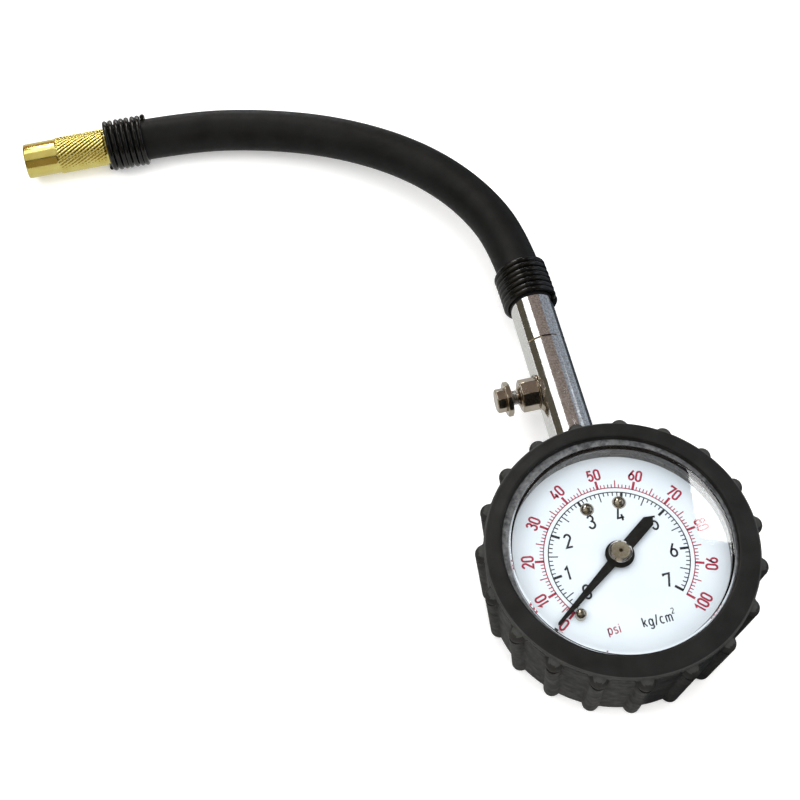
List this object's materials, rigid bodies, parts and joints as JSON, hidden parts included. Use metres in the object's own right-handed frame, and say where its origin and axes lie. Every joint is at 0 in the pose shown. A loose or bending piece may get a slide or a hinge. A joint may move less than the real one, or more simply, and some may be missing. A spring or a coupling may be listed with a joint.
{
  "type": "tire pressure gauge",
  "caption": "Dial tire pressure gauge in a ribbed rubber boot, with a chromed stem, bleed valve, short rubber hose with spring guards and a brass swivel chuck.",
  "frame": {"origin": "centre of the flat back of the rubber boot, which the gauge rests on", "axes": "+Z the way the dial faces, +Y the way the stem leaves the head at 12 o'clock, +X towards 3 o'clock"},
  "size_m": [0.1712, 0.2158, 0.0312],
  "materials": {
    "boot_rubber": "moulded, satin black",
    "case_steel": "black enamel",
    "lens_clear": "clear moulded plastic, polished",
    "dial_white": "printed white enamel",
    "pointer_black": "matt black",
    "nickel": "bright nickel plate",
    "stem_chrome": "mirror chrome plate",
    "chuck_brass": "bright turned brass",
    "movement_brass": "machined brass",
    "bourdon_bronze": "drawn bronze",
    "bright_steel": "turned steel",
    "guard_wire": "black coated spring wire",
    "hose_rubber": "smooth black rubber",
    "seal_rubber": "moulded rubber"
  },
  "bodies": {
    "gauge": {"bleed_body": "nickel", "bleed_spring": "bright_steel", "bleed_washer": "nickel", "boot": "boot_rubber", "bourdon_tube": "bourdon_bronze", "case": "case_steel", "chuck_barb": "chuck_brass", "chuck_guard": "guard_wire", "chuck_ring": "bright_steel", "chuck_seal": "seal_rubber", "depressor_pin": "chuck_brass", "dial_plate": "dial_white", "dial_screws": "nickel", "fitting_seal": "seal_rubber", "hose": "hose_rubber", "hose_fitting": "stem_chrome", "lens": "lens_clear", "movement_back_plate": "movement_brass", "movement_front_plate": "movement_brass", "movement_pillars": "movement_brass", "movement_screws": "bright_steel", "pillar_screws": "bright_steel", "socket_block": "movement_brass", "spring_post": "bright_steel", "stem_body": "stem_chrome", "stem_guard": "guard_wire", "stem_seal": "seal_rubber", "zero_stop_pin": "nickel"},
    "sector": {"sector_gear": "movement_brass", "sector_shaft": "bright_steel", "tail_pin": "bright_steel"},
    "pointer": {"pinion_arbor": "bright_steel", "spring_collet": "movement_brass", "hairspring": "bourdon_bronze", "pointer": "pointer_black", "pointer_cap": "nickel"},
    "link": {"link": "movement_brass"},
    "tube_tip": {"tube_tip": "movement_brass", "tip_pin": "bright_steel"},
    "bleed_button": {"bleed_button": "nickel", "bleed_plunger": "nickel", "bleed_seal": "seal_rubber"},
    "chuck_nut": {"chuck_nut": "chuck_brass"}
  },
  "joints": [
    {"name": "sector_pivot", "type": "hinge", "parent": "gauge", "child": "sector", "pos_m": [-0.01353, -0.00492, 0.012], "axis": [0, 0, 1], "range_deg": [0, 37.47], "stiffness_Nm_per_rad": 0.004, "deforming": ["bourdon_tube"]},
    {"name": "pointer_spin", "type": "hinge", "parent": "gauge", "child": "pointer", "pos_m": [0, 0, 0.012], "axis": [0, 0, -1], "range_deg": [0, 262.3], "deforming": ["hairspring"]},
    {"name": "tip_travel", "type": "slide", "parent": "gauge", "child": "tube_tip", "axis": [-0.1736, -0.9848, 0], "range_m": [0, 0.00322]},
    {"name": "link_pivot", "type": "hinge", "parent": "sector", "child": "link", "pos_m": [-0.01792, -0.00252, 0.0131], "axis": [0, 0, 1], "range_deg": [-37.48, 0]},
    {"name": "bleed_press", "type": "slide", "parent": "gauge", "child": "bleed_button", "axis": [1, 0, 0], "range_m": [0, 0.0012], "stiffness_N_per_m": 1500, "deforming": ["bleed_spring"]},
    {"name": "chuck_swivel", "type": "hinge", "parent": "gauge", "child": "chuck_nut", "pos_m": [-0.12, 0.1719, 0.0077], "axis": [-1, 0, 0], "continuous": true}
  ],
  "couplings": [
    {"joint": "pointer_spin", "follows": "sector_pivot", "ratio": 7},
    {"joint": "tip_travel", "follows": "sector_pivot", "m_per_rad": 0.0049114},
    {"joint": "link_pivot", "follows": "sector_pivot", "ratio": -1}
  ]
}
